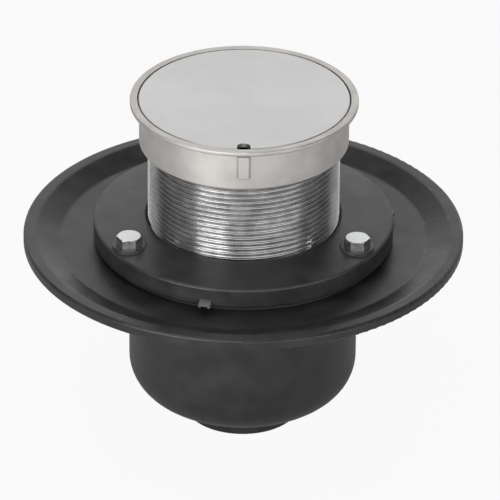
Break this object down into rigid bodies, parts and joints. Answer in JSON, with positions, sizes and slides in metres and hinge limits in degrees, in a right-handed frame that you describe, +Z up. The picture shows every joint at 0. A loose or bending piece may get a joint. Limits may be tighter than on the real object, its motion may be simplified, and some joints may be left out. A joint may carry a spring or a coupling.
{
  "type": "floor drain",
  "caption": "Cast floor drain with a dished flange, bowl and threaded outlet, a bolted clamp collar and a round covered head that screws up and down.",
  "frame": {"origin": "centre of the outlet boss's lower face", "axes": "+Z up along the drain's axis, from the outlet to the cover; the cover's lift notch is on the -Y side"},
  "size_m": [0.2468, 0.2468, 0.1985],
  "materials": {
    "coated_iron": "black dipped coating, half gloss",
    "coated_collar": "black dipped coating, half gloss",
    "plated_bolt": "bright zinc plating",
    "turned_sleeve": "turned thread",
    "satin_frame": "satin nickel bronze",
    "satin_cover": "satin nickel bronze"
  },
  "bodies": {
    "drain": {"drain_body": "coated_iron", "clamp_collar": "coated_collar", "collar_bolts": "plated_bolt"},
    "head": {"threaded_sleeve": "turned_sleeve", "head_frame": "satin_frame", "cover_plate": "satin_cover"}
  },
  "joints": [
    {"name": "head_height", "type": "slide", "parent": "drain", "child": "head", "axis": [0, 0, 1], "range_m": [-0.0455, 0.012]}
  ]
}
